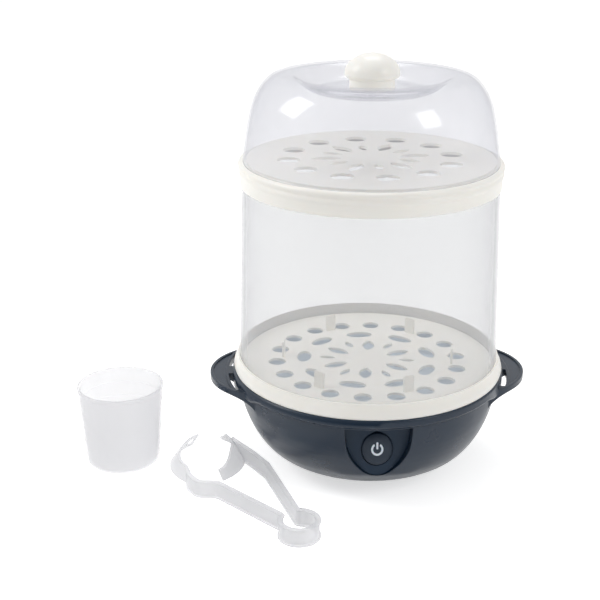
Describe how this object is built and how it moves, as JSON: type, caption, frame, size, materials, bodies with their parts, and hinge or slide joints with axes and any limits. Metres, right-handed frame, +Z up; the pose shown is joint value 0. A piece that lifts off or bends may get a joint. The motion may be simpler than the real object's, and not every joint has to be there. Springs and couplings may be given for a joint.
{
  "type": "baby bottle sterilizer",
  "caption": "Electric steam sterilizer: round heated base with a button and handles, tray, frosted chamber, second tray, clear lid with knob, and a loose measuring cup and tongs.",
  "frame": {"origin": "centre of the base on the surface it stands on", "axes": "+Z up along the base's axis, -Y towards the button, +X to the right-hand handle"},
  "size_m": [0.4037, 0.2855, 0.3687],
  "materials": {
    "base_plastic": "moulded, glossy, dark navy grey",
    "panel_plastic": "moulded, satin, darker navy",
    "button_plastic": "moulded, satin slate",
    "icon_print": "pale translucent mark",
    "switch_plastic": "moulded, matte",
    "board": "green solder mask",
    "screw_steel": "zinc plated",
    "lamp_lens": "water-clear lens",
    "cover_plastic": "moulded, fine texture",
    "foot_rubber": "matte",
    "gasket_rubber": "pale silicone",
    "basin_metal": "pressed sheet with a blue-grey coat",
    "cast_aluminium": "as cast",
    "element_sheath": "drawn tube, heat tinted",
    "fuse_case": "crimped case",
    "white_plastic": "moulded, satin warm white",
    "frosted_plastic": "translucent, fine frost",
    "clear_plastic": "clear, faint lavender tint",
    "cup_plastic": "translucent, natural",
    "tongs_plastic": "translucent, natural"
  },
  "bodies": {
    "base": {"base_shell": "base_plastic", "front_panel": "panel_plastic", "tact_switch": "switch_plastic", "control_board": "board", "board_screws": "screw_steel", "indicator_led": "lamp_lens", "bottom_cover": "cover_plastic", "cover_screws": "screw_steel", "rubber_feet": "foot_rubber", "basin_gasket": "gasket_rubber", "heating_basin": "basin_metal", "basin_nuts": "screw_steel", "heat_spreader": "cast_aluminium", "heating_element": "element_sheath", "element_terminals": "screw_steel", "thermostat": "cover_plastic", "thermal_fuse": "fuse_case", "fuse_clip": "screw_steel", "cord_gland": "foot_rubber"},
    "button": {"power_button": "button_plastic", "power_icon": "icon_print", "switch_plunger": "switch_plastic"},
    "lower_tray": {"lower_tray": "white_plastic"},
    "chamber": {"chamber": "frosted_plastic"},
    "upper_tray": {"upper_tray": "white_plastic"},
    "lid": {"lid": "clear_plastic", "knob": "white_plastic", "knob_screw": "screw_steel"},
    "measuring_cup": {"measuring_cup": "cup_plastic"},
    "tongs_left": {"tongs_left_arm": "tongs_plastic", "tongs_bow": "tongs_plastic"},
    "tongs_right": {"tongs_right_arm": "tongs_plastic"}
  },
  "joints": [
    {"name": "button_press", "type": "slide", "parent": "base", "child": "button", "axis": [0, 1, 0], "range_m": [0, 0.0008], "stiffness_N_per_m": 1500, "springref_m": -0.0002},
    {"name": "lower_tray_lift", "type": "slide", "parent": "base", "child": "lower_tray", "axis": [0, 0, 1], "range_m": [0, 0.12]},
    {"name": "chamber_lift", "type": "slide", "parent": "lower_tray", "child": "chamber", "axis": [0, 0, 1], "range_m": [0, 0.2]},
    {"name": "upper_tray_lift", "type": "slide", "parent": "chamber", "child": "upper_tray", "axis": [0, 0, 1], "range_m": [0, 0.12]},
    {"name": "lid_lift", "type": "slide", "parent": "upper_tray", "child": "lid", "axis": [0, 0, 1], "range_m": [0, 0.15]},
    {"name": "cup_lift", "type": "slide", "parent": "base", "child": "measuring_cup", "axis": [0, 0, 1], "range_m": [0, 0.12]},
    {"name": "tongs_pick_up", "type": "slide", "parent": "base", "child": "tongs_left", "axis": [-0.2999, -0.7998, 0.5199], "range_m": [0, 0.1]},
    {"name": "tongs_squeeze", "type": "hinge", "parent": "tongs_left", "child": "tongs_right", "pos_m": [-0.0666, -0.1462, 0.0075], "axis": [0, 0, 1], "range_deg": [0, 10], "stiffness_Nm_per_rad": 0.8, "springref_deg": -0.57, "deforming": ["tongs_bow"]}
  ]
}
